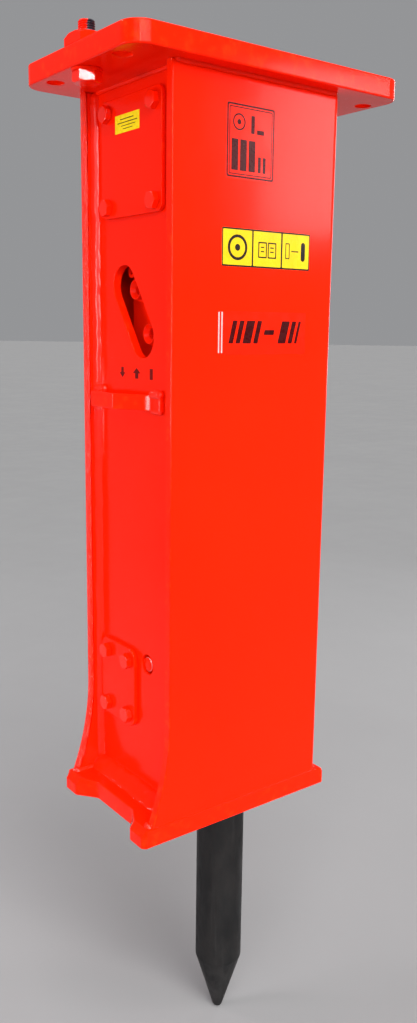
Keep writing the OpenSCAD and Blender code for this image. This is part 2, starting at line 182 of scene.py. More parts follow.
def red_and_dark(name, red, bare):
    """A blued thread, red on its -X side and dark steel on its +X side, with a ragged line between."""
    g = Graph(name)
    g.set(Specular_IOR_Level=0.3, Metallic=0.1)
    side = g.maths("ADD", g.axis("X"), g.range(g.noise(180, 4), 0.3, 0.7, -0.0015, 0.0015))
    dark_part = g.range(side, -0.1915, -0.1895)
    oiled = g.mix(g.range(g.noise(60, 5), 0.4, 0.7), bare, tuple(c * 1.8 for c in bare))
    g.bump(g.noise(300, 4), 0.0003, 0.2)
    return g.finish(g.mix(dark_part, red, oiled), g.range(g.noise(90, 5), 0.3, 0.7, 0.25, 0.45))


def forged(name, base, scale_colour, worn):
    """Heat-treated bar: mill scale in patches, lengthwise rubbing marks, a dressed point."""
    g = Graph(name)
    g.set(Metallic=0.3, Specular_IOR_Level=0.2)
    patch = g.range(g.noise(26, 9, (1, 1, 0.45), 0.65), 0.38, 0.64)
    colour = g.mix(patch, base, scale_colour)
    streak = g.range(g.noise(150, 4, (1, 1, 0.03)), 0.58, 0.76, 0.0, 0.3)
    colour = g.mix(streak, colour, worn)
    point = g.range(g.axis("Z"), -1.262, -1.285, 0.0, 0.35)
    colour = g.mix(g.maths("MULTIPLY", point, g.range(g.noise(90, 6, (1, 1, 0.2)), 0.3, 0.7)), colour, worn)
    roughness = g.range(g.noise(48, 7, (1, 1, 0.4)), 0.3, 0.7, 0.42, 0.72)
    g.bump(g.noise(70, 6), 0.0011, 0.3)
    g.bump(g.noise(420, 3), 0.0004, 0.35)
    g.bump(g.noise(700, 2, (0.04, 0.04, 1)), 0.0002, 0.3)
    return g.finish(colour, roughness)


def cast(name, base, light):
    """Sand-cast iron with a grained skin and oil-dark patches."""
    g = Graph(name)
    g.set(Metallic=0.35, Specular_IOR_Level=0.45)
    colour = g.mix(g.range(g.noise(18, 8), 0.35, 0.68), base, light)
    colour = g.mix(g.range(g.noise(7, 5), 0.55, 0.8, 0.0, 0.6), colour, tuple(c * 0.4 for c in base))
    roughness = g.range(g.noise(40, 6), 0.3, 0.7, 0.48, 0.78)
    g.bump(g.noise(330, 5, rough=0.7), 0.0008, 0.45)
    g.bump(g.cells(520), 0.0003, 0.25)
    return g.finish(colour, roughness)


def turned(name, base, dark, rough=0.3):
    """Machined metal: fine rings from the tool, light oil stains, small scratches."""
    g = Graph(name)
    g.set(Metallic=1.0)
    colour = g.mix(g.range(g.noise(22, 7), 0.4, 0.75), base, dark)
    roughness = g.range(g.noise(65, 6), 0.3, 0.7, rough * 0.75, rough * 1.4)
    g.bump(g.noise(1500, 2, (0.03, 0.03, 1)), 0.00012, 0.35)
    g.bump(g.noise(260, 5), 0.0002, 0.2)
    return g.finish(colour, roughness)


def moulded(name, base, light, rough, grain):
    """Rubber or plastic with a dull moulded skin and dusty bloom."""
    g = Graph(name)
    g.set(Specular_IOR_Level=0.35)
    colour = g.mix(g.range(g.noise(30, 7), 0.45, 0.75), base, light)
    roughness = g.range(g.noise(80, 5), 0.3, 0.7, rough * 0.85, min(1.0, rough * 1.15))
    g.bump(g.noise(grain, 4), 0.0003, 0.35)
    return g.finish(colour, roughness)


def film(name, base, deep, rough=0.28):
    """Printed vinyl: slight fade, fine texture, faint scuffs."""
    g = Graph(name)
    g.set(Specular_IOR_Level=0.12, Coat_Weight=0.02, Coat_Roughness=0.1)
    colour = g.mix(g.range(g.noise(38, 6), 0.35, 0.75), base, deep)
    roughness = g.range(g.noise(120, 5), 0.35, 0.7, rough * 0.8, rough * 1.3)
    g.bump(g.noise(600, 2), 0.0001, 0.2)
    return g.finish(colour, roughness)


# base, deep and bright colours of the enamel
ENAMEL = ((0.90, 0.0120, 0.0003), (0.82, 0.0085, 0.0002), (0.95, 0.030, 0.002))
RED = paint("red_enamel", *ENAMEL)
RED_CUT = paint("red_enamel_cut_edge", *ENAMEL, cut=1.0, gloss=0.5)
RED_THICK = paint("red_enamel_thick", *ENAMEL, rough=0.13, gloss=0.55)
PRINT_MAROON = film("print_maroon", (0.040, 0.0010, 0.0016), (0.028, 0.0010, 0.0014))
PRINT_BLACK = film("print_black", (0.006, 0.004, 0.004), (0.012, 0.006, 0.005))
PRINT_RED = film("print_red", (0.10, 0.002, 0.001), (0.16, 0.003, 0.001), 0.2)
# two copies of one label yellow: the first darker for the brightly lit front plate, the second lighter to
# make up for the dimmer light on the wall
LABEL_YELLOW = film("label_yellow", (0.62, 0.43, 0.004), (0.56, 0.38, 0.003))
LABEL_YELLOW_LIFTED = film("label_yellow_lifted_for_shade", (0.88, 0.72, 0.008), (0.80, 0.64, 0.006))
LABEL_RED = film("label_red", (0.66, 0.0100, 0.0003), (0.60, 0.0085, 0.0002), 0.2)
# pink strips that paint the highlight along the clear patch's left edge
GLINT = film("painted_glint_strip", (0.85, 0.42, 0.42), (0.75, 0.30, 0.30), 0.15)
FINISH = {
    "red_paint": RED,
    "tool_steel": forged(
        "forged_tool", (0.0085, 0.0085, 0.009), (0.014, 0.013, 0.013), (0.042, 0.040, 0.040)
    ),
    "dark_casting": cast("cast_iron", (0.075, 0.075, 0.080), (0.14, 0.14, 0.145)),
    "bright_steel": turned("machined_steel", (0.56, 0.57, 0.59), (0.30, 0.30, 0.32)),
    "bearing_bronze": turned("bearing_bronze", (0.60, 0.40, 0.17), (0.36, 0.22, 0.09), 0.34),
    "guide_plastic": moulded("guide_plastic", (0.018, 0.018, 0.020), (0.045, 0.045, 0.050), 0.5, 900),
    "black_rubber": moulded("black_rubber", (0.010, 0.010, 0.010), (0.035, 0.034, 0.033), 0.75, 500),
}
BARE_END = red_and_dark("red_and_dark_thread", (0.86, 0.0110, 0.0003), (0.016, 0.015, 0.022))


# ---------------------------------------------------------------- mesh tools

AXIS_FLAT = 0.05  # radius of the small flat on a turned solid's axis
BORE_EDGE = 0.8  # chamfer at both ends of a nut's bore
THREAD_DEPTH = 0.61  # depth of a thread, in pitches
RIPPLE_PITCH = 4.2  # from one weld ripple to the next
BEAD_STEP = 1.1  # from one ring of a weld bead to the next
BEAD_SIDES = 12
THIN_BEAD = 3  # a bead below this radius is nearly smooth


def piece(name, parts, finish, stands_for=(), body="housing", sharp=42.0):
    """One object made of several closed shells, given in millimetres."""
    verts, faces, rim = [], [], []
    for v, f, *rest in parts:
        base = len(verts)
        verts += [Vector(p) * MM for p in v]
        faces += [[base + i for i in face] for face in f]
        rim += rest[0] if rest else [0.0] * len(v)
    mesh = bpy.data.meshes.new(name)
    mesh.from_pydata(verts, [], faces)
    mesh.attributes.new("rim", "FLOAT", "POINT").data.foreach_set("value", rim)
    bm = bmesh.new()
    bm.from_mesh(mesh)
    bmesh.ops.recalc_face_normals(bm, faces=bm.faces)
    for face in bm.faces:
        face.smooth = True
    bm.to_mesh(mesh)
    bm.free()
    mesh.set_sharp_from_angle(angle=math.radians(sharp))
    obj = bpy.data.objects.new(name, mesh)
    bpy.context.scene.collection.objects.link(obj)
    mesh.materials.append(finish)
    even = obj.modifiers.new("even", "WEIGHTED_NORMAL")
    even.keep_sharp = True
    even.weight = 90
    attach(obj, body)
    if stands_for:
        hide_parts(*stands_for)
    return obj


def moved(part, place):
    """The same shell with each point put through place."""
    v, f, *rest = part
    return ([place(*p) for p in v], f, *rest)


def on_wall(u, v, t):
    """Flat shape in Y and Z, with its thickness along X."""
    return (t, u, v)


def outward(x, y, z, side=-1):
    """Puts a part made along its own Z on the spot x, y, z, pointing to -X, or to +X for side 1."""
    return lambda a, b, c: (x + side * c, y + a, z + b)


def arc(cx, cy, r, a0, a1, n):
    """Points along an arc, from angle a0 to a1 in degrees, with both ends."""
    out = []
    for i in range(n + 1):
        a = math.radians(a0 + (a1 - a0) * i / n)
        out.append(Vector((cx + r * math.cos(a), cy + r * math.sin(a))))
    return out


def circle(cx, cy, r, n=48):
    return arc(cx, cy, r, 0, 360, n)[:-1]


def box_loop(w, h, r, cx=0.0, cy=0.0, n=8):
    """A rectangle with round corners."""
    out = []
    for sx, sy, a in ((1, -1, -90), (1, 1, 0), (-1, 1, 90), (-1, -1, 180)):
        out += arc(cx + sx * (w / 2 - r), cy + sy * (h / 2 - r), r, a, a + 90, n)
    return out


def slot_loop(a, b, r, n):
    """A slot with round ends centred on a and b."""
    a, b = Vector(a), Vector(b)
    turn = math.degrees(math.atan2(b.y - a.y, b.x - a.x))
    return arc(b.x, b.y, r, turn - 90, turn + 90, n) + arc(a.x, a.y, r, turn + 90, turn + 270, n)


def rounded(points, radii, n=6):
    """A polygon whose corners are turned into arcs."""
    out = []
    count = len(points)
    radii = [radii] * count if isinstance(radii, (int, float)) else radii
    for i in range(count):
        p, a, b = (Vector(points[k % count]) for k in (i, i - 1, i + 1))
        r = radii[i]
        if r <= 0:
            out.append(p)
            continue
        u, v = (a - p).normalized(), (b - p).normalized()
        half = u.angle(v) / 2
        reach = min(r / math.tan(half), 0.49 * (a - p).length, 0.49 * (b - p).length)
        r = reach * math.tan(half)
        centre = p + (u + v).normalized() * (r / math.sin(half))
        start, end = p + u * reach - centre, p + v * reach - centre
        whole = start.angle_signed(end)
        for k in range(n + 1):
            t = -whole * k / n
            c, s = math.cos(t), math.sin(t)
            out.append(centre + Vector((start.x * c - start.y * s, start.x * s + start.y * c)))
    return out


def area(loop):
    """The loop's area, positive when it runs counter-clockwise."""
    return sum(a.x * b.y - b.x * a.y for a, b in zip(loop, loop[1:] + loop[:1])) / 2


def inward(loop, depths):
    """The loop with each edge moved to its left by that edge's depth.

    Where two edges are nearly in line, the point between them moves by the mean of their depths.
    """
    out = []
    for i, p in enumerate(loop):
        a = (p - loop[i - 1]).normalized()
        b = (loop[(i + 1) % len(loop)] - p).normalized()
        na, nb = Vector((-a.y, a.x)), Vector((-b.y, b.x))
        da, db = depths[i - 1], depths[i]
        turn = a.x * b.y - a.y * b.x
        if abs(turn) < 0.02:
            out.append(p + (na + nb).normalized() * (da + db) / 2)
        else:
            out.append(p + (b * da - a * db) / turn)
    return out


def bands(n, count, start=0, closed=False):
    """Quads between count rings of n points each, and back to the first ring if closed."""
    faces = []
    for k in range(count if closed else count - 1):
        a, b = start + k * n, start + (k + 1) % count * n
        for i in range(n):
            j = (i + 1) % n
            faces.append([a + i, a + j, b + j, b + i])
    return faces


def plate(outer, holes, t0, t1, edge, hole_edge=1.0, steps=3, levels=(), shape=None, far_edge=None):
    """A flat plate with rounded rims. Edge is one radius, or one for each edge of the outline.

    Far_edge is the same list for the outline's rim on the t1 face, where it differs.
    """
    loops = []
    for k, loop in enumerate([outer] + list(holes)):
        loop = [Vector(p) for p in loop]
        if (area(loop) > 0) != (k == 0):
            loop.reverse()
        if k:
            near = [hole_edge] * len(loop)
        else:
            near = edge if isinstance(edge, list) else [edge] * len(loop)
        far = far_edge if k == 0 and far_edge else near
        loops.append((loop, near, far))
    verts, faces, rim, low_ids, high_ids = [], [], [], [], []
    for loop, near, far in loops:
        n = len(loop)
        rows = []
        for top, depth in ((False, near), (True, far)):
            for k in range(steps + 1):
                a = math.pi / 2 * (k if not top else steps - k) / steps
                flat = inward(loop, [d * (1 - math.sin(a)) for d in depth])
                lift = [max(depth[i - 1], depth[i]) * (1 - math.cos(a)) for i in range(n)]
                rows.append([(q.x, q.y, (t1 - h) if top else (t0 + h)) for q, h in zip(flat, lift)])
            if not top:
                for level in levels:
                    rows.append([(q.x, q.y, level) for q in loop])
        if shape:
            rows = [[shape(*p) for p in row] for row in rows]
        base = len(verts)
        for k, row in enumerate(rows):
            verts += row
            rim += [0.0 if k in (0, len(rows) - 1) else 1.0] * n
        faces += bands(n, len(rows), base)
        low_ids.append(list(range(base, base + n)))
        high_ids.append(list(range(base + (len(rows) - 1) * n, base + len(rows) * n)))
    for ids in (low_ids, high_ids):
        flat = [i for group in ids for i in group]
        outlines = [[Vector((verts[i][0], verts[i][1], 0)) for i in group] for group in ids]
        for tri in tessellate_polygon(outlines):
            faces.append([flat[i] for i in tri])
    return verts, faces, rim


def skin(rows):
    """Closed shell over rings of points, capped at both ends."""
    n = len(rows[0])
    verts = [p for row in rows for p in row]
    faces = bands(n, len(rows))
    faces.append(list(range(n)))
    faces.append(list(range(len(verts) - n, len(verts))))
    return verts, faces


def closed_ring(rows):
    """Closed shell over rings of points whose last ring joins the first."""
    return [p for row in rows for p in row], bands(len(rows[0]), len(rows), closed=True)


def ring(r, z, n, turn=0.0):
    """N points round the Z axis."""
    angles = [2 * math.pi * i / n + turn for i in range(n)]
    return [(r * math.cos(a), r * math.sin(a), z) for a in angles]


def lathe(rows, n=64, shape=None):
    """A turned solid from (radius, height) rows. A row of radius 0 is a small flat."""
    rings = [ring(max(r, AXIS_FLAT), z, n) for r, z in rows]
    if shape:
        rings = [[shape(*p) for p in points] for points in rings]
    return skin(rings)


def tube(rows, n=64):
    """A turned ring: the rows go all the way round the section and close on themselves."""
    return closed_ring([ring(r, z, n) for r, z in rows])


def prism_radius(a, flats, sides):
    """A prism's radius in the direction a, from its size across flats."""
    step = 2 * math.pi / sides
    return flats / 2 / math.cos(a % step - step / 2)


def hexagon(flats, z0, z1, bore=0.0, sides=6, n=96, seat=0.5, turn=0.0, top=0.95):
    """A bolt head or nut, its corners turned off at 30 degrees.

    Seat is the height of the washer face below, and top is the end face's size against the flats.
    """
    corner = flats / 2 / math.cos(math.pi / sides)
    rim_r = flats / 2 * top
    drop = (corner - rim_r) * math.tan(math.radians(30))
    if seat:
        heights = [(z0, rim_r, False), (z0 + seat * 0.8, rim_r, False), (z0 + seat, corner, True)]
    else:
        heights = [(z0, corner, True)]
    for k in range(6):
        heights.append((z1 - drop * (5 - k) / 5, rim_r + (corner - rim_r) * (5 - k) / 5, True))
    rings = []
    for z, limit, cut in heights:
        points = []
        for i in range(n):
            a = 2 * math.pi * i / n
            r = min(limit, prism_radius(a, flats, sides)) if cut else limit
            points.append((r * math.cos(a + turn), r * math.sin(a + turn), z))
        rings.append(points)
    if not bore:
        rings.append([(x * 0.93, y * 0.93, z1) for x, y, _ in rings[-1]])
        return skin(rings)
    inner = [ring(bore, z, n, turn) for z in (z1 - BORE_EDGE, z0 + BORE_EDGE)]
    spread = bore + BORE_EDGE
    wide = [[(x * spread / bore, y * spread / bore, z) for x, y, _ in inner[0]] for z in (z1, z0)]
    return closed_ring(rings + [wide[0], inner[0], inner[1], wide[1]])


def thread(r, pitch, z0, z1, n):
    """A screw thread with run-out at both ends, as one solid rod."""
    rings = []
    count = max(2, int((z1 - z0) / pitch * 8))
    for k in range(count + 1):
        z = z0 + (z1 - z0) * k / count
        ease = min(1.0, (z - z0) / pitch, (z1 - z) / (0.6 * pitch))
        point_end = z1 - z < z - z0 and ease < 1
        points = []
        for i in range(n):
            a = 2 * math.pi * i / n
            phase = (z / pitch - i / n) % 1.0
            cut = min(1.0, max(0.0, 2.4 * abs(phase - 0.5) - 0.15))
            rr = r - THREAD_DEPTH * pitch * cut * max(0.0, ease)
            if point_end:
                rr -= 0.55 * pitch * (1 - ease)
            points.append((rr * math.cos(a), rr * math.sin(a), z))
        rings.append(points)
    return skin(rings)


def bead(path, r, facing, flat=1.0, seed=0.0):
    """A weld bead along a path: crescent ripples, a little wander and rounded ends.

    Facing is the side that the bead bulges to, and flat squashes it in that direction.
    """
    ripple = 0.035 if r < THIN_BEAD or flat != 1.0 else 0.10
    points = [Vector(p) for p in path]
    marks = []
    for a, b in zip(points, points[1:]):
        n = max(1, int((b - a).length / BEAD_STEP))
        marks += [a.lerp(b, i / n) for i in range(n)]
    marks.append(points[-1])
    total = len(marks) - 1
    rows = []
    for k, p in enumerate(marks):
        t = (marks[min(k + 1, total)] - marks[max(k - 1, 0)]).normalized()
        out = Vector(facing)
        out = (out - t * out.dot(t)).normalized()
        side = t.cross(out)
        s = k * BEAD_STEP
        end = min(1.0, math.sqrt(max(0.0, min(k, total - k) * BEAD_STEP / r)) + 0.12)
        sway = noise.noise(Vector((s * 0.05, seed, 1.7))) * 0.22 * r
        swell = 1 + 0.10 * noise.noise(Vector((s * 0.09, seed, 9.1)))
        row = []
        for i in range(BEAD_SIDES):
            a = 2 * math.pi * i / BEAD_SIDES
            c, d = math.cos(a), math.sin(a)
            wave = abs(math.sin(math.pi * (s - 0.55 * r * c) / RIPPLE_PITCH))
            q = r * end * swell * (1 - ripple + ripple * wave)
            row.append(tuple(p + out * (q * c * flat) + side * (q * d + sway)))
        rows.append(row)
    return skin(rows)


# ---------------------------------------------------------------- sizes

top_low = span("top_plate")[0]
side_low, side_high = span("front_side_plate")
wall_low, wall_high = span("left_wall_panel")
right_low, right_high = span("right_wall_panel")
base_low, base_high = span("base_plate")
strap_low, strap_high = span("hose_strap")
cover_low = span("upper_service_cover")[0]
lower_low = span("lower_service_cover")[0]
block_low, block_high = span("valve_housing")
tool_low, tool_high = span("chisel")

FRONT = side_low.y
REAR = -FRONT
LEFT = wall_low.x
FOOT = side_low.x
HOUSE_LEFT = FOOT + 26
HOUSE_RIGHT = side_high.x
HOUSE_TOP = side_high.z
HOUSE_LOW = side_low.z
TOOL_X = (tool_low.x + tool_high.x) / 2

PLATE_LENGTH, PLATE_WIDTH = 412, 260
PLATE_BOLT_X, PLATE_BOLT_Y = 186, 78  # the top plate's bolt holes, from its centre
PIN_Y, PIN_Z = 28, -755  # the retaining pins, one on each side of the tool
PIN_ACCESS_R = 13  # the holes in the end walls that the pins pull out through
UPPER_COVER = (0, -112)  # the covers' centres
LOWER_COVER = (38.5, -798)
UPPER_BOLTS = [(y, z) for y in (-53, 53) for z in (-169, -58)]
LOWER_BOLTS = [(y, z) for y in (11, 64) for z in (-837, -760)]
BOLT_TURNS = (4, 22, -11, 35)  # how each cover bolt's hex came to rest, in degrees
COVER_HOLE_R = 6.5
PORTS = ((18, -269), (-13, -324))
PORT_R = 9.55
WALL_HALF = 92  # half the end walls' width, and the broad plates' inner faces
SIDE_FACE = 104.0  # the broad plates' outer faces
SIDE_T = 12.0
STRAP_T = 6
THICK_RIM = 9  # the front edge's large rim ends this far from the corner

# ---------------------------------------------------------------- housing plates

bolt_holes = [circle(sx * PLATE_BOLT_X, sy * PLATE_BOLT_Y, 11) for sx in (-1, 1) for sy in (-1, 0, 1)]
piece(
    "mounting_plate",
    [plate(box_loop(PLATE_LENGTH, PLATE_WIDTH, 26, n=14), bolt_holes, top_low.z, 0.0, 2.2, 1.0)],
    RED,
    ["top_plate"],
)

flare_w, flare_h = HOUSE_LEFT - FOOT, 135.0
flare_r = (flare_w**2 + flare_h**2) / (2 * flare_w)
sweep_end = math.degrees(math.asin(flare_h / flare_r))
flare = arc(HOUSE_LEFT - flare_r, HOUSE_LOW + flare_h, flare_r, 0, -sweep_end, 22)
side_outline = [
    Vector((HOUSE_RIGHT, HOUSE_LOW)), Vector((HOUSE_RIGHT, HOUSE_TOP)),
    Vector((HOUSE_RIGHT - THICK_RIM, HOUSE_TOP)), Vector((HOUSE_LEFT, HOUSE_TOP)),
] + flare + [Vector((HOUSE_RIGHT - THICK_RIM, HOUSE_LOW))]
for name, sign, finish, left_rim in (("front", -1, RED, 1.4), ("rear", 1, RED_CUT, 4.2)):
    rims = [7.5] + [1.6] * (len(side_outline) - 1)
    far_rims = [1.4] * 3 + [left_rim] * len(flare) + [1.4] * 2
    shell = plate(side_outline, [], 0.0, SIDE_T, rims, steps=5, far_edge=far_rims)
    piece(
        f"{name}_broad_plate",
        [moved(shell, lambda u, v, t, sign=sign: (u, sign * (SIDE_FACE - t), v))],
        finish,
        [f"{name}_side_plate"],
    )

wall_outline = [
    Vector((y, z))
    for y, z in (
        (-WALL_HALF, HOUSE_LOW), (WALL_HALF, HOUSE_LOW), (WALL_HALF, HOUSE_TOP), (-WALL_HALF, HOUSE_TOP)
    )
]
hose_window = slot_loop((26, -264.5), (-17, -328.7), 25, 26)
left_holes = [
    hose_window,
    box_loop(80, 90, 12, *UPPER_COVER),
    box_loop(30, 60, 10, *LOWER_COVER),
    circle(-PIN_Y, PIN_Z, PIN_ACCESS_R),
] + [circle(y, z, 6.05, 32) for y, z in UPPER_BOLTS + LOWER_BOLTS]
piece(
    "window_wall",
    [moved(plate(wall_outline, left_holes, LEFT, wall_high.x, 0.4, 1.6, steps=4), on_wall)],
    RED,
    ["left_wall_panel"],
)
right_access = circle(PIN_Y, PIN_Z, PIN_ACCESS_R)
piece(
    "rear_end_wall",
    [moved(plate(wall_outline, [right_access], right_low.x, right_high.x, 0.4, 1.6, steps=4), on_wall)],
    RED,
    ["right_wall_panel"],
)

foot_l, foot_r = base_low.x, base_high.x
base_outline = rounded(
    [
        (foot_l + 5, FRONT), (foot_r - 5, FRONT), (foot_r, FRONT + 5), (foot_r, -72),
        (foot_r - 20, -46), (foot_r - 20, 46), (foot_r, 72), (foot_r, REAR - 5),
        (foot_r - 5, REAR), (foot_l + 5, REAR), (foot_l, REAR - 5), (foot_l, 72),
        (foot_l + 21, 46), (foot_l + 21, -46), (foot_l, -72), (foot_l, FRONT + 5),
    ],
    [2.5, 2.5, 2.5, 7, 12, 12, 7, 2.5, 2.5, 2.5, 2.5, 7, 12, 12, 7, 2.5],
    5,
)


foot_level = base_high.z - 9
tool_opening = circle(TOOL_X, 0, 58, 64)


def foot_slope(u, v, t):
    """The top of each foot slopes down towards its end."""
    fall = max(0.0, t - foot_level)
    return (min(max(u, foot_l + fall), foot_r - fall), v, t)


piece(
    "footed_base",
    [plate(
        base_outline, [tool_opening], base_low.z, base_high.z, 1.8, 1.5,
        levels=(foot_level,), shape=foot_slope,
    )],
    RED,
    ["base_plate"],
)

# ---------------------------------------------------------------- covers, strap and their bolts

for end, loop, at, low in (
    ("upper", box_loop(136, 140, 10, *UPPER_COVER), UPPER_BOLTS, cover_low),
    ("lower", box_loop(87, 112, 16, *LOWER_COVER), LOWER_BOLTS, lower_low),
):
    holes = [circle(y, z, COVER_HOLE_R, 32) for y, z in at]
    cover = moved(plate(loop, holes, low.x, LEFT, 1.1, 0.5), on_wall)
    piece(f"{end}_cover_plate", [cover], RED, [f"{end}_service_cover"])


def wall_bolt(y, z, turn):
    """An M12 hex bolt seen from the hose side, its shank reaching through the wall."""
    head = hexagon(19, 0, 8, turn=math.radians(turn), seat=0.6)
    shank = thread(6.0, 1.75, -18, 0.2, 28)
    place = outward(cover_low.x, y, z)
    return [moved(head, place), moved(shank, place)]


for name, at, node in (
    ("upper_cover_hex_bolts", UPPER_BOLTS, "upper_cover_bolts"),
    ("lower_cover_hex_bolts", LOWER_BOLTS, "lower_cover_bolts"),
):
    parts = []
    for k, (y, z) in enumerate(at):
        parts += wall_bolt(y, z, BOLT_TURNS[k])
    piece(name, parts, RED_THICK, [node])

crest, foot_face = strap_low.x, LEFT - STRAP_T
strap_outline = rounded(
    [
        (LEFT, -66), (foot_face, -66), (foot_face, -42), (crest, 6), (crest, 60), (foot_face, 76),
        (foot_face, WALL_HALF), (LEFT, WALL_HALF), (LEFT, 73), (crest + STRAP_T, 57), (crest + STRAP_T, 9),
        (LEFT, -39),
    ],
    [0.6, 2.5, 38, 2, 2.5, 8, 0.6, 0.6, 4, 1, 1, 30],
    8,
)
strap = plate(strap_outline, [], strap_low.z, strap_high.z, 1.3, steps=4)
piece("hose_guard_strap", [strap], RED, ["hose_strap"])

# ---------------------------------------------------------------- bolt left in the plate

HEAD_LOW, HEAD_HIGH = -40.5, -28  # the bolt's head, below the washer


def at_bolt(a, b, c):
    return (a - PLATE_BOLT_X, b, c)


def head_down(a, b, c):
    """The head is made with its chamfer up and turned over in place."""
    return (a - PLATE_BOLT_X, b, HEAD_LOW + HEAD_HIGH - c)


piece(
    "plate_bolt",
    [
        moved(hexagon(30, HEAD_LOW, HEAD_HIGH, seat=0.0, turn=math.radians(29.7)), head_down),
        moved(lathe([(10, -28.3), (10, 2), (9.7, 2.4)]), at_bolt),
        moved(thread(10, 2.5, 1.8, 15.5, 56), at_bolt),
    ],
    RED_THICK,
    ["bracket_bolt"],
)
piece("plate_bolt_end", [moved(thread(10, 2.5, 15.0, 27, 56), at_bolt)], BARE_END)
washer = tube([
    (10.5, -27.6), (10.9, -28), (18.0, -28), (18.5, -27.6),
    (18.5, -25.4), (18.0, -25), (10.9, -25), (10.5, -25.4),
])
piece("plate_bolt_washer", [moved(washer, at_bolt)], RED, ["bracket_bolt_washer"])
nut = hexagon(38, 0, 12, bore=10.05, sides=4, seat=0.0, turn=math.radians(45), top=1.08)
piece("square_nut", [moved(nut, at_bolt)], RED, ["bracket_square_nut"])

# ---------------------------------------------------------------- valve block and hose fittings

block_out = block_low.x
block_face = box_loop(2 * 48.0, block_high.z - block_low.z, 4, 0, (block_low.z + block_high.z) / 2, 5)
block_holes = [circle(*port, PORT_R, 40) for port in PORTS]
block_holes += [circle(y, z, 5.5, 28) for y in (-36, 36) for z in (-358, -246)]
block = plate(block_face, block_holes, block_out, block_high.x, 1.4, 0.8)
piece("valve_block", [moved(block, on_wall)], RED, ["valve_housing"])

GROOVE_Z, GROOVE_LENGTH, GROOVE_DEPTH, GROOVE_STEPS = 7.5, 5.3, 0.75, 40  # ten ring grooves on a hose end
for name, node, port, turn in (
    ("pressure_fitting", "inlet_adapter", PORTS[0], 12),
    ("return_fitting", "outlet_adapter", PORTS[1], -17),
):
    place = outward(block_out - 2, *port)
    body = hexagon(30, 0, 6, turn=math.radians(turn), seat=0.4, bore=7)
    stub_rows = [(7, 5.5), (12.6, 5.5), (12.6, 7.4)]
    for k in range(GROOVE_STEPS):
        sink = GROOVE_DEPTH * (0.5 - 0.5 * math.cos(k * math.pi / 2))
        stub_rows.append((12.9 - sink, GROOVE_Z + GROOVE_LENGTH * k / GROOVE_STEPS))
    stub_rows += [(12.9, 13.0), (12.2, 14), (11.4, 14), (7.6, 8.6), (7, 8.2)]
    root = [(7, -12), (8.9, -12), (9.5, -11.4), (9.5, 0.3), (7, 0.3)]
    piece(name, [moved(body, place), moved(tube(stub_rows), place), moved(tube(root), place)], RED, [node])

# ---------------------------------------------------------------- retaining pins

for side, name in ((-1, "retaining_pin_left"), (1, "retaining_pin_right")):
    low, high = span(name)
    y, z, r = (low.y + high.y) / 2, (low.z + high.z) / 2, (high.y - low.y) / 2
    length = high.x - low.x
    place = outward(low.x if side < 0 else high.x, y, z, -side)
    shaft = [
        (0, 0.0), (r - 1.6, 0.0), (r - 0.4, 0.7), (r, 2.0),
        (r, length - 3), (r - 1.5, length - 0.6), (0, length),
    ]
    cap = [
        (0, -0.35), (2.6, -0.35), (3.0, -0.2), (r - 1.7, -0.2), (r - 0.2, 0.9),
        (r + 0.12, 2.2), (r + 0.12, 7.0), (r - 0.3, 7.2), (0, 7.2),
    ]
    steel = FINISH["bright_steel"]
    piece(f"{name}_shaft", [moved(lathe(shaft, 48), place)], steel, [name], body=name)
    piece(f"{name}_painted_end", [moved(lathe(cap, 48), place)], RED, body=name)

# ---------------------------------------------------------------- chisel

TOOL_R = 35.0
CONE_Z = -1266.0  # where the point begins
NOSE_R = 8.0
FLAT_Y, FLAT_LOW, FLAT_HIGH = 17.7, -815.3, -744.7  # the flats that run along the retaining pins


def tool_profile():
    """The chisel's (radius, height) rows, from the rounded nose up to the chamfered head."""
    tip = tool_low.z
    slope = math.atan2(tool_high.x - TOOL_X - NOSE_R, CONE_Z - tip - NOSE_R)
    rows = [(0.0, tip)]
    for k in range(1, 8):
        a = (math.pi / 2 - slope) * k / 7
        rows.append((NOSE_R * math.sin(a), tip + NOSE_R - NOSE_R * math.cos(a)))
    rows += [(34.2, CONE_Z - 2.2), (34.8, CONE_Z - 0.4), (TOOL_R, CONE_Z + 2.5)]
    rows += [(TOOL_R, CONE_Z + 2.5 + (FLAT_LOW - CONE_Z - 2.5) * k / 6) for k in range(1, 7)]
    rows += [(TOOL_R, FLAT_LOW + 0.01), (TOOL_R, FLAT_HIGH - 0.01), (TOOL_R, FLAT_HIGH)]
    rows += [(TOOL_R, tool_high.z - 5), (34.3, tool_high.z - 2.6), (31.0, tool_high.z), (0.0, tool_high.z)]
    return rows


def tool_flats(x, y, z):
    if FLAT_LOW < z < FLAT_HIGH:
        y = max(-FLAT_Y, min(FLAT_Y, y))
    return (TOOL_X + x, y, z)


piece(
    "pointed_chisel",
    [lathe(tool_profile(), 96, tool_flats)],
    FINISH["tool_steel"],
    ["chisel"],
    body="chisel",
    sharp=35.0,
)

# ---------------------------------------------------------------- weld seams

RIGHT = right_high.x
STRAP_TOP, STRAP_UNDER = strap_high.z + 1.0, strap_low.z - 0.3
BOTH = (-1, 1)
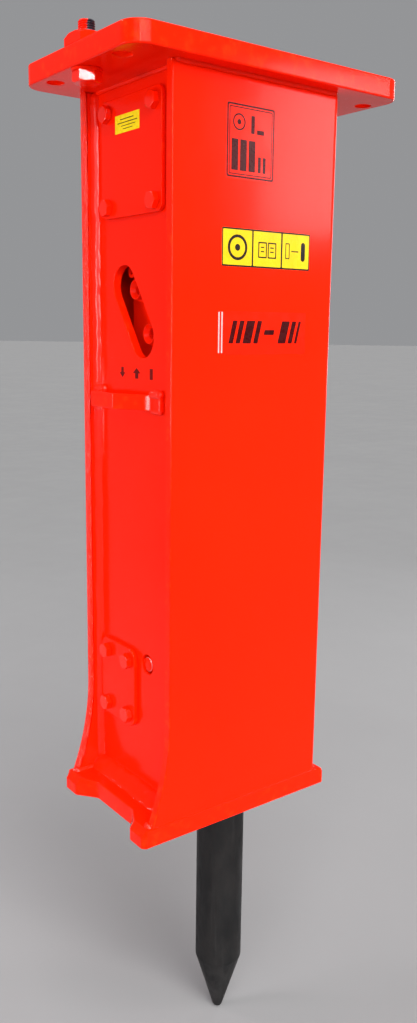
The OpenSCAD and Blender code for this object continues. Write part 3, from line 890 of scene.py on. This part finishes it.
# each bead is its path, its radius, the side it bulges to, and how flat it is in that direction
SEAMS = {
    "weld_front_to_plate": [(
        [(HOUSE_LEFT + 3, FRONT - 0.6, HOUSE_TOP), (HOUSE_RIGHT - 6, FRONT - 0.6, HOUSE_TOP)],
        4.2,
        (0, -1, -1),
    )],
    "weld_rear_to_plate": [(
        [(HOUSE_LEFT + 3, REAR + 0.6, HOUSE_TOP), (HOUSE_RIGHT - 6, REAR + 0.6, HOUSE_TOP)],
        4.2,
        (0, 1, -1),
    )],
    "weld_walls_to_plate": [
        ([(LEFT, -88, HOUSE_TOP), (LEFT, 88, HOUSE_TOP)], 4.0, (-1, 0, -1)),
        ([(RIGHT, -88, HOUSE_TOP), (RIGHT, 88, HOUSE_TOP)], 3.4, (1, 0, -1)),
    ],
    "weld_wall_corners": [
        ([(LEFT - 2.6, s * 89.4, HOUSE_TOP), (LEFT - 2.6, s * 89.4, HOUSE_LOW)], 7.6, (-1, -s, 0), 0.42)
        for s in BOTH
    ] + [
        ([(RIGHT, s * 92.6, HOUSE_TOP - 2), (RIGHT, s * 92.6, HOUSE_LOW + 4)], 2.6, (1, -s * 0.4, 0))
        for s in BOTH
    ],
    "weld_walls_to_base": [
        ([(LEFT - 7, -101, HOUSE_LOW + 7), (LEFT - 7, 101, HOUSE_LOW + 7)], 15.6, (-1, 0, 1), 0.35),
        ([(RIGHT, -101, HOUSE_LOW), (RIGHT, 101, HOUSE_LOW)], 6.0, (1, 0, 1), 0.6),
    ],
    "weld_sides_to_base": [
        ([(FOOT + 8, s * 103.2, HOUSE_LOW), (HOUSE_RIGHT - 2, s * 103.2, HOUSE_LOW)], 1.5, (0, s, 0))
        for s in BOTH
    ],
    "weld_feet": [
        ([(HOUSE_RIGHT + 0.5, s * 100.5, HOUSE_LOW), (HOUSE_RIGHT + 0.5, s * 76, HOUSE_LOW)], 6.5, (1, 0, 1))
        for s in BOTH
    ] + [
        (
            [
                (FOOT + 0.5, s * 101.0, HOUSE_LOW - 0.5), (FOOT + 0.5, s * 92, HOUSE_LOW - 0.5),
                (LEFT - 8, s * 91.5, HOUSE_LOW),
            ],
            5.5,
            (-1, -s, 1.2),
        )
        for s in BOTH
    ],
    "weld_strap_feet": [
        ([(LEFT - 3, -68, STRAP_TOP), (LEFT - 3, -42, STRAP_TOP)], 6.2, (-0.6, 0, 1)),
        ([(LEFT - 3, 66, STRAP_TOP), (LEFT - 3, 92, STRAP_TOP)], 6.2, (-0.6, 0, 1)),
        ([(LEFT - 3, -66, STRAP_UNDER), (LEFT - 3, -44, STRAP_UNDER)], 3.2, (-0.6, 0, -1)),
        ([(LEFT - 3, 78, STRAP_UNDER), (LEFT - 3, 92, STRAP_UNDER)], 3.2, (-0.6, 0, -1)),
    ],
}
GLOSSY_SEAMS = ("weld_wall_corners", "weld_feet", "weld_strap_feet")
for number, (name, runs) in enumerate(SEAMS.items()):
    beads = [bead(*run, seed=number * 3.1 + k) for k, run in enumerate(runs)]
    piece(name, beads, RED_THICK if name in GLOSSY_SEAMS else RED, sharp=70.0)

# ---------------------------------------------------------------- labels, with plain generic prints


LABEL_T, PATCH_T, INK_T = 0.25, 0.18, 0.06  # thickness of a label, of the clear patch and of print


def on_front(u, v, t):
    """Flat shape in X and Z on the front broad plate."""
    return (u, FRONT - t, v)


def on_cover(u, v, t):
    """Flat shape in Y and Z on the upper service cover."""
    return (cover_low.x - t, u, v)


def on_left(u, v, t):
    """Flat shape in Y and Z on the left wall."""
    return (LEFT - t, u, v)


def film_part(outer, holes, film_t, rim, face, place):
    """A thin sheet whose back lies at height face over the surface."""
    sheet = plate(outer, holes, 0.0, film_t, rim, rim, steps=1)
    return moved(sheet, lambda u, v, t: place(u, v, t + face))


def sticker(name, loop, face, film_t, finish, place):
    """One label or patch."""
    return piece(name, [film_part(loop, [], film_t, 0.05, face, place)], finish)


def prints(name, loops, face, finish, place):
    """Printed shapes on a label, each a loop or a loop with holes."""
    parts = []
    for item in loops:
        outer, *holes = item if isinstance(item, tuple) else (item,)
        parts.append(film_part(outer, holes, INK_T, 0.02, face, place))
    return piece(name, parts, finish)


def bar(x0, x1, z0, z1, lean=0.0, r=0.6):
    """A printed bar, its top moved sideways by lean."""
    return rounded([(x0, z0), (x1, z0), (x1 + lean, z1), (x0 + lean, z1)], r, 2)


# framed panel: a double border, three tall bars, two lower ones, a ring and two short bars
PANEL = (-25, -100)
PANEL_RING = (-43, -79)
sticker("framed_label", box_loop(76, 86, 3, *PANEL), 0.0, LABEL_T, LABEL_RED, on_front)
frame_prints = [
    (box_loop(72, 82, 2.5, *PANEL), box_loop(68.0, 78.0, 2, *PANEL)),
    (box_loop(65.2, 75.2, 1.5, *PANEL), box_loop(62.8, 72.8, 1, *PANEL)),
    (circle(*PANEL_RING, 9.5, 32), circle(*PANEL_RING, 7.6, 32)),
    circle(*PANEL_RING, 3.0, 24),
    bar(-25, -19.5, -90, -70),
    bar(-16, -5, -90, -85),
]
frame_prints += [bar(x, x + 10, -133, -98) for x in (-54, -41, -28)]
frame_prints += [bar(x, x + 4.5, -133, -115) for x in (-13.5, -6)]
prints("framed_label_print", frame_prints, LABEL_T, PRINT_MAROON, on_front)

# strip of three plain panels: a ring, two leaves, and two posts with a line between them
STRIP = (4.5, -220.5)
STRIP_RING = (-42.2, -220.5)
panels = [box_loop(44.4, 41, 1, x, -220.5) for x in (-42.2, 4.5, 51.2)]
sticker("three_panel_label", box_loop(141, 45, 1.5, *STRIP), 0.0, LABEL_T, LABEL_YELLOW, on_front)
strip = [
    (box_loop(140.9, 44.9, 1.2, *STRIP), *panels),
    (circle(*STRIP_RING, 15, 40), circle(*STRIP_RING, 11.5, 40)),
    circle(*STRIP_RING, 4, 24),
    (bar(-10, 3.7, -231, -212, 0, 1), bar(-8.4, 2.2, -229.4, -213.6, 0, 0.6)),
    (bar(5.3, 19, -231, -212, 0, 1), bar(6.8, 17.4, -229.4, -213.6, 0, 0.6)),
]
for x0, x1 in ((-6, -0.5), (9, 15)):
    strip += [bar(x0, x1, -219, -217.6, 0, 0.3), bar(x0, x1, -224, -222.6, 0, 0.3)]
strip += [
    (bar(34, 41, -230, -211, 0, 0.6), bar(35.2, 39.8, -228.8, -212.2, 0, 0.4)),
    bar(44, 56, -221.2, -219.8, 0, 0.4),
    bar(60, 67, -232, -209, 0, 3),
]
prints("three_panel_print", strip, LABEL_T, PRINT_BLACK, on_front)

# clear patch with two pink strips at its left edge that paint its highlight, and a slanted plain mark
sticker("clear_patch", box_loop(142, 52, 2, 1.0, -321.5), 0.0, PATCH_T, LABEL_RED, on_front)
for number, x in enumerate((-68.8, -64.2)):
    sticker(f"clear_patch_glint_{number + 1}", box_loop(2.0, 49, 0.9, x, -321), PATCH_T, 0.08, GLINT, on_front)
tall_bars = [bar(x, x + w, -334, -306.5, 7, 0.8) for x, w in (
    (-54, 7), (-43, 7), (-32, 13), (-15, 7), (25, 13), (42, 7), (53, 4),
)]
dash = bar(2, 18, -323.5, -317.5, 1.5, 0.8)
prints("slanted_mark", tall_bars[:4] + [dash] + tall_bars[4:], PATCH_T, PRINT_MAROON, on_front)

# small yellow patch on the upper cover, with plain ruled lines
sticker("small_cover_label", box_loop(55, 21, 1, 6.5, -73.5), 0.0, LABEL_T, LABEL_YELLOW_LIFTED, on_cover)
rules = [bar(y0, y1, z0, z1, 0, 0.3) for y0, y1, z0, z1 in (
    (-8, 22, -69.0, -68.0), (-16, 28, -73.0, -72.0), (-12, 20, -76.6, -75.8), (-6, 16, -80.2, -79.4),
)]
prints("small_label_rules", rules, LABEL_T, PRINT_BLACK, on_cover)

# flow direction below the hose window: an arrow for each port, and a short bar
arrow = [(-3, 0), (3, 0), (3, 8), (7, 8), (0, 16), (-7, 8), (-3, 8)]
up = [Vector((-4 + 1.3 * a, -380 + 0.85 * b)) for a, b in arrow]
down = [Vector((30 + a, -366.4 - 0.85 * b)) for a, b in arrow]
flow = [rounded(up, 0.4, 2), rounded(down, 0.4, 2), bar(-41, -34, -380, -366.4)]
prints("flow_arrows", flow, 0.0, PRINT_RED, on_left)

# ---------------------------------------------------------------- pieces kept from the frame

for name, obj in nodes.items():
    if obj.hide_render:
        continue
    obj.data.materials.clear()
    obj.data.materials.append(FINISH[slots[name]])
    weld = obj.modifiers.new("weld", "WELD")
    weld.merge_threshold = 0.01 * MM
    edge = obj.modifiers.new("edge", "BEVEL")
    edge.width = 0.6 * MM
    edge.segments = 2
    edge.limit_method = "ANGLE"
    edge.angle_limit = math.radians(50)
    edge.use_clamp_overlap = True
    even = obj.modifiers.new("even", "WEIGHTED_NORMAL")
    even.keep_sharp = True

# ---------------------------------------------------------------- studio

FLOOR_HALF = 90  # in metres, so that its edge is far behind the object
floor_mesh = bpy.data.meshes.new("studio_floor")
floor_corners = [(x * FLOOR_HALF, y * FLOOR_HALF, 0) for x, y in ((-1, -1), (1, -1), (1, 1), (-1, 1))]
floor_mesh.from_pydata(floor_corners, [], [(0, 1, 2, 3)])
floor = bpy.data.objects.new("studio_floor", floor_mesh)
bpy.context.scene.collection.objects.link(floor)
floor.location = (0, 0, tool_low.z * MM - 0.0005)
pale = Graph("pale_floor")
pale.set(Specular_IOR_Level=0.1)
pale_colour = pale.mix(pale.range(pale.noise(1.2, 3), 0.3, 0.7), (0.28, 0.28, 0.284), (0.27, 0.27, 0.274))
floor_mesh.materials.append(pale.finish(pale_colour, pale.range(pale.noise(6, 3), 0.3, 0.7, 0.75, 0.9)))

world = bpy.data.worlds.new("studio_world")
bpy.context.scene.world = world
world.use_nodes = True
backdrop = world.node_tree.nodes["Background"]
backdrop.inputs["Color"].default_value = (0.96, 0.97, 1.0, 1.0)
backdrop.inputs["Strength"].default_value = 0.31


def softbox(name, where, aim, size, power, colour=(1, 1, 1)):
    """A rectangular lamp at a place in metres, turned to its aim."""
    light = bpy.data.lights.new(name, "AREA")
    light.shape = "RECTANGLE"
    light.size, light.size_y = size
    light.energy = power
    light.color = colour
    obj = bpy.data.objects.new(name, light)
    bpy.context.scene.collection.objects.link(obj)
    obj.location = where
    obj.rotation_euler = (Vector(aim) - Vector(where)).to_track_quat("-Z", "Y").to_euler()


def far_light(name, where, strength, spread, colour=(1, 1, 1)):
    """Even light from a direction, its source spread over an angle in degrees."""
    light = bpy.data.lights.new(name, "SUN")
    light.energy = strength
    light.angle = math.radians(spread)
    light.color = colour
    obj = bpy.data.objects.new(name, light)
    bpy.context.scene.collection.objects.link(obj)
    obj.rotation_euler = (-Vector(where)).to_track_quat("-Z", "Y").to_euler()


far_light("front_far", (-0.15, -1.0, 0.42), 4.1, 50, (1.0, 0.98, 0.95))
far_light("top_far", (-0.2, -0.5, 1.0), 1.5, 30)
far_light("camera_side", (-0.5, -0.83, 0.2), 1.5, 60)
far_light("facet_glint", (-0.499, -0.833, 0.236), 0.12, 3)
softbox("glare", (1.85, -1.95, 0.34), (0.08, -0.1, -0.1), (0.5, 0.6), 13, (1.0, 0.88, 0.90))
softbox("rim", (2.4, 0.9, 0.2), (0.12, -0.1, -0.4), (0.3, 1.6), 9)
softbox("edge_left", (-2.33, 1.02, -0.6), (-0.15, 0, -0.4), (0.8, 0.25), 26, (1.0, 0.92, 0.95))
softbox("left_glint", (-2.5, -1.55, -0.28), (-0.1, 0, -0.3), (0.45, 0.55), 8, (1.0, 0.90, 0.94))
softbox("top_back", (-1.7, 1.5, 1.3), (-0.12, 0, -0.2), (0.35, 0.35), 14, (1.0, 0.90, 0.94))

# the photo's view: where the camera stands in metres, how it is turned, and its lens
CAMERA_AT = (-0.7555, -0.9998, -0.3146)
LENS, SENSOR = 32.38, 36
azimuth, pitch, roll = math.radians(-36.99), math.radians(11.34), math.radians(0.73)
back = Vector((math.sin(azimuth) * math.cos(pitch), -math.cos(azimuth) * math.cos(pitch), math.sin(pitch)))
right = Vector((math.cos(azimuth), math.sin(azimuth), 0))
above = back.cross(right)
right_rolled = right * math.cos(roll) + above * math.sin(roll)
above_rolled = above * math.cos(roll) - right * math.sin(roll)
camera_data = bpy.data.cameras.new("camera")
camera_data.lens = LENS
camera_data.sensor_width = SENSOR
camera_data.clip_end = 60
camera = bpy.data.objects.new("camera", camera_data)
bpy.context.scene.collection.objects.link(camera)
turn = Matrix((right_rolled, above_rolled, back)).transposed().to_4x4()
camera.matrix_world = Matrix.Translation(CAMERA_AT) @ turn
bpy.context.scene.camera = camera

view = bpy.context.scene.view_settings
view.view_transform = "Standard"
view.look = "None"
view.exposure = 0.0

bpy.context.view_layer.update()
